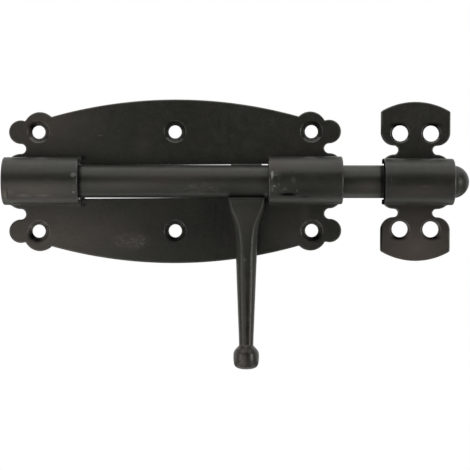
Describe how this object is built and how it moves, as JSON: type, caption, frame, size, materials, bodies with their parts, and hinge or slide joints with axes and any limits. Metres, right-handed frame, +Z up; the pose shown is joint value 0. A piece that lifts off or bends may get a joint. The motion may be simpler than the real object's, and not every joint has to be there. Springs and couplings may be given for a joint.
{
  "type": "sliding bolt",
  "caption": "Black round-bar sliding door bolt: lobed pressed plate with raised sleeves, a forged drop handle that turns about the bar, and a separate shield-shaped keeper.",
  "frame": {"origin": "middle of the base plate's back, on the door's surface", "axes": "+X along the bar towards its thrown end, +Z up, -Y out of the door towards the viewer, +Y into the door"},
  "size_m": [0.2266, 0.0222, 0.132],
  "materials": {
    "plate_coat": "satin black coat",
    "keeper_coat": "satin black coat",
    "rod_coat": "satin black coat",
    "handle_coat": "satin black coat"
  },
  "bodies": {
    "plates": {"base_plate": "plate_coat", "keeper": "keeper_coat"},
    "bolt": {"bolt_rod": "rod_coat"},
    "handle": {"handle": "handle_coat"}
  },
  "joints": [
    {"name": "bolt_slide", "type": "slide", "parent": "plates", "child": "bolt", "axis": [-1, 0, 0.0039], "range_m": [-0.0018, 0.072]},
    {"name": "handle_turn", "type": "hinge", "parent": "bolt", "child": "handle", "pos_m": [0.03505, -0.0107, -0.00031], "axis": [-1, 0, 0.0039], "range_deg": [0, 180]}
  ]
}
